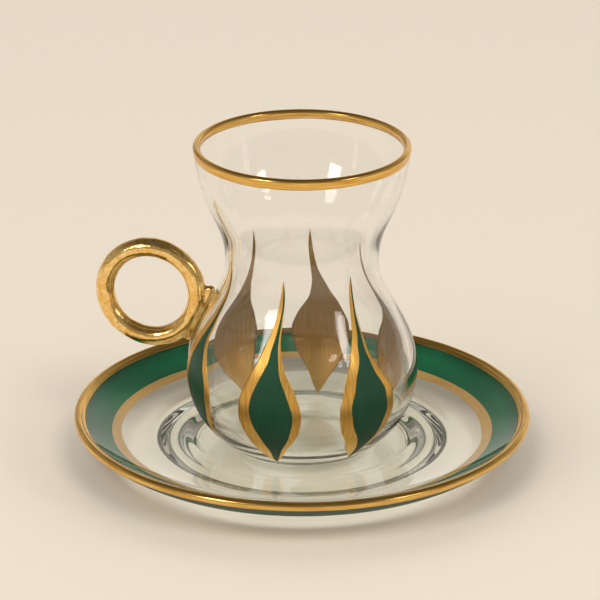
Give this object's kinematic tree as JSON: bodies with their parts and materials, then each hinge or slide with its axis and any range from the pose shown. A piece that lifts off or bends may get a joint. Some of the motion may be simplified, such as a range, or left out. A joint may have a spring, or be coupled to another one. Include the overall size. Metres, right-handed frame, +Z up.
{
  "type": "tea glass with saucer",
  "caption": "Waisted clear glass for hot tea with a gilded ring handle, gilded lip and painted leaves, standing on its round glass saucer with a painted rim.",
  "frame": {"origin": "on the table under the middle of the saucer", "axes": "+Z up along the axis of glass and saucer, ring handle along -X"},
  "size_m": [0.12, 0.12, 0.0879],
  "materials": {
    "clear_glass": "clear, fire polished",
    "gold_leaf": "burnished gold leaf, slightly wrinkled",
    "gold_lustre": "brushed and fired gold paint",
    "green_enamel": "glossy fired enamel"
  },
  "bodies": {
    "root": {"saucer": "clear_glass", "tea_glass": "clear_glass", "ring_handle": "gold_leaf"}
  },
  "joints": []
}
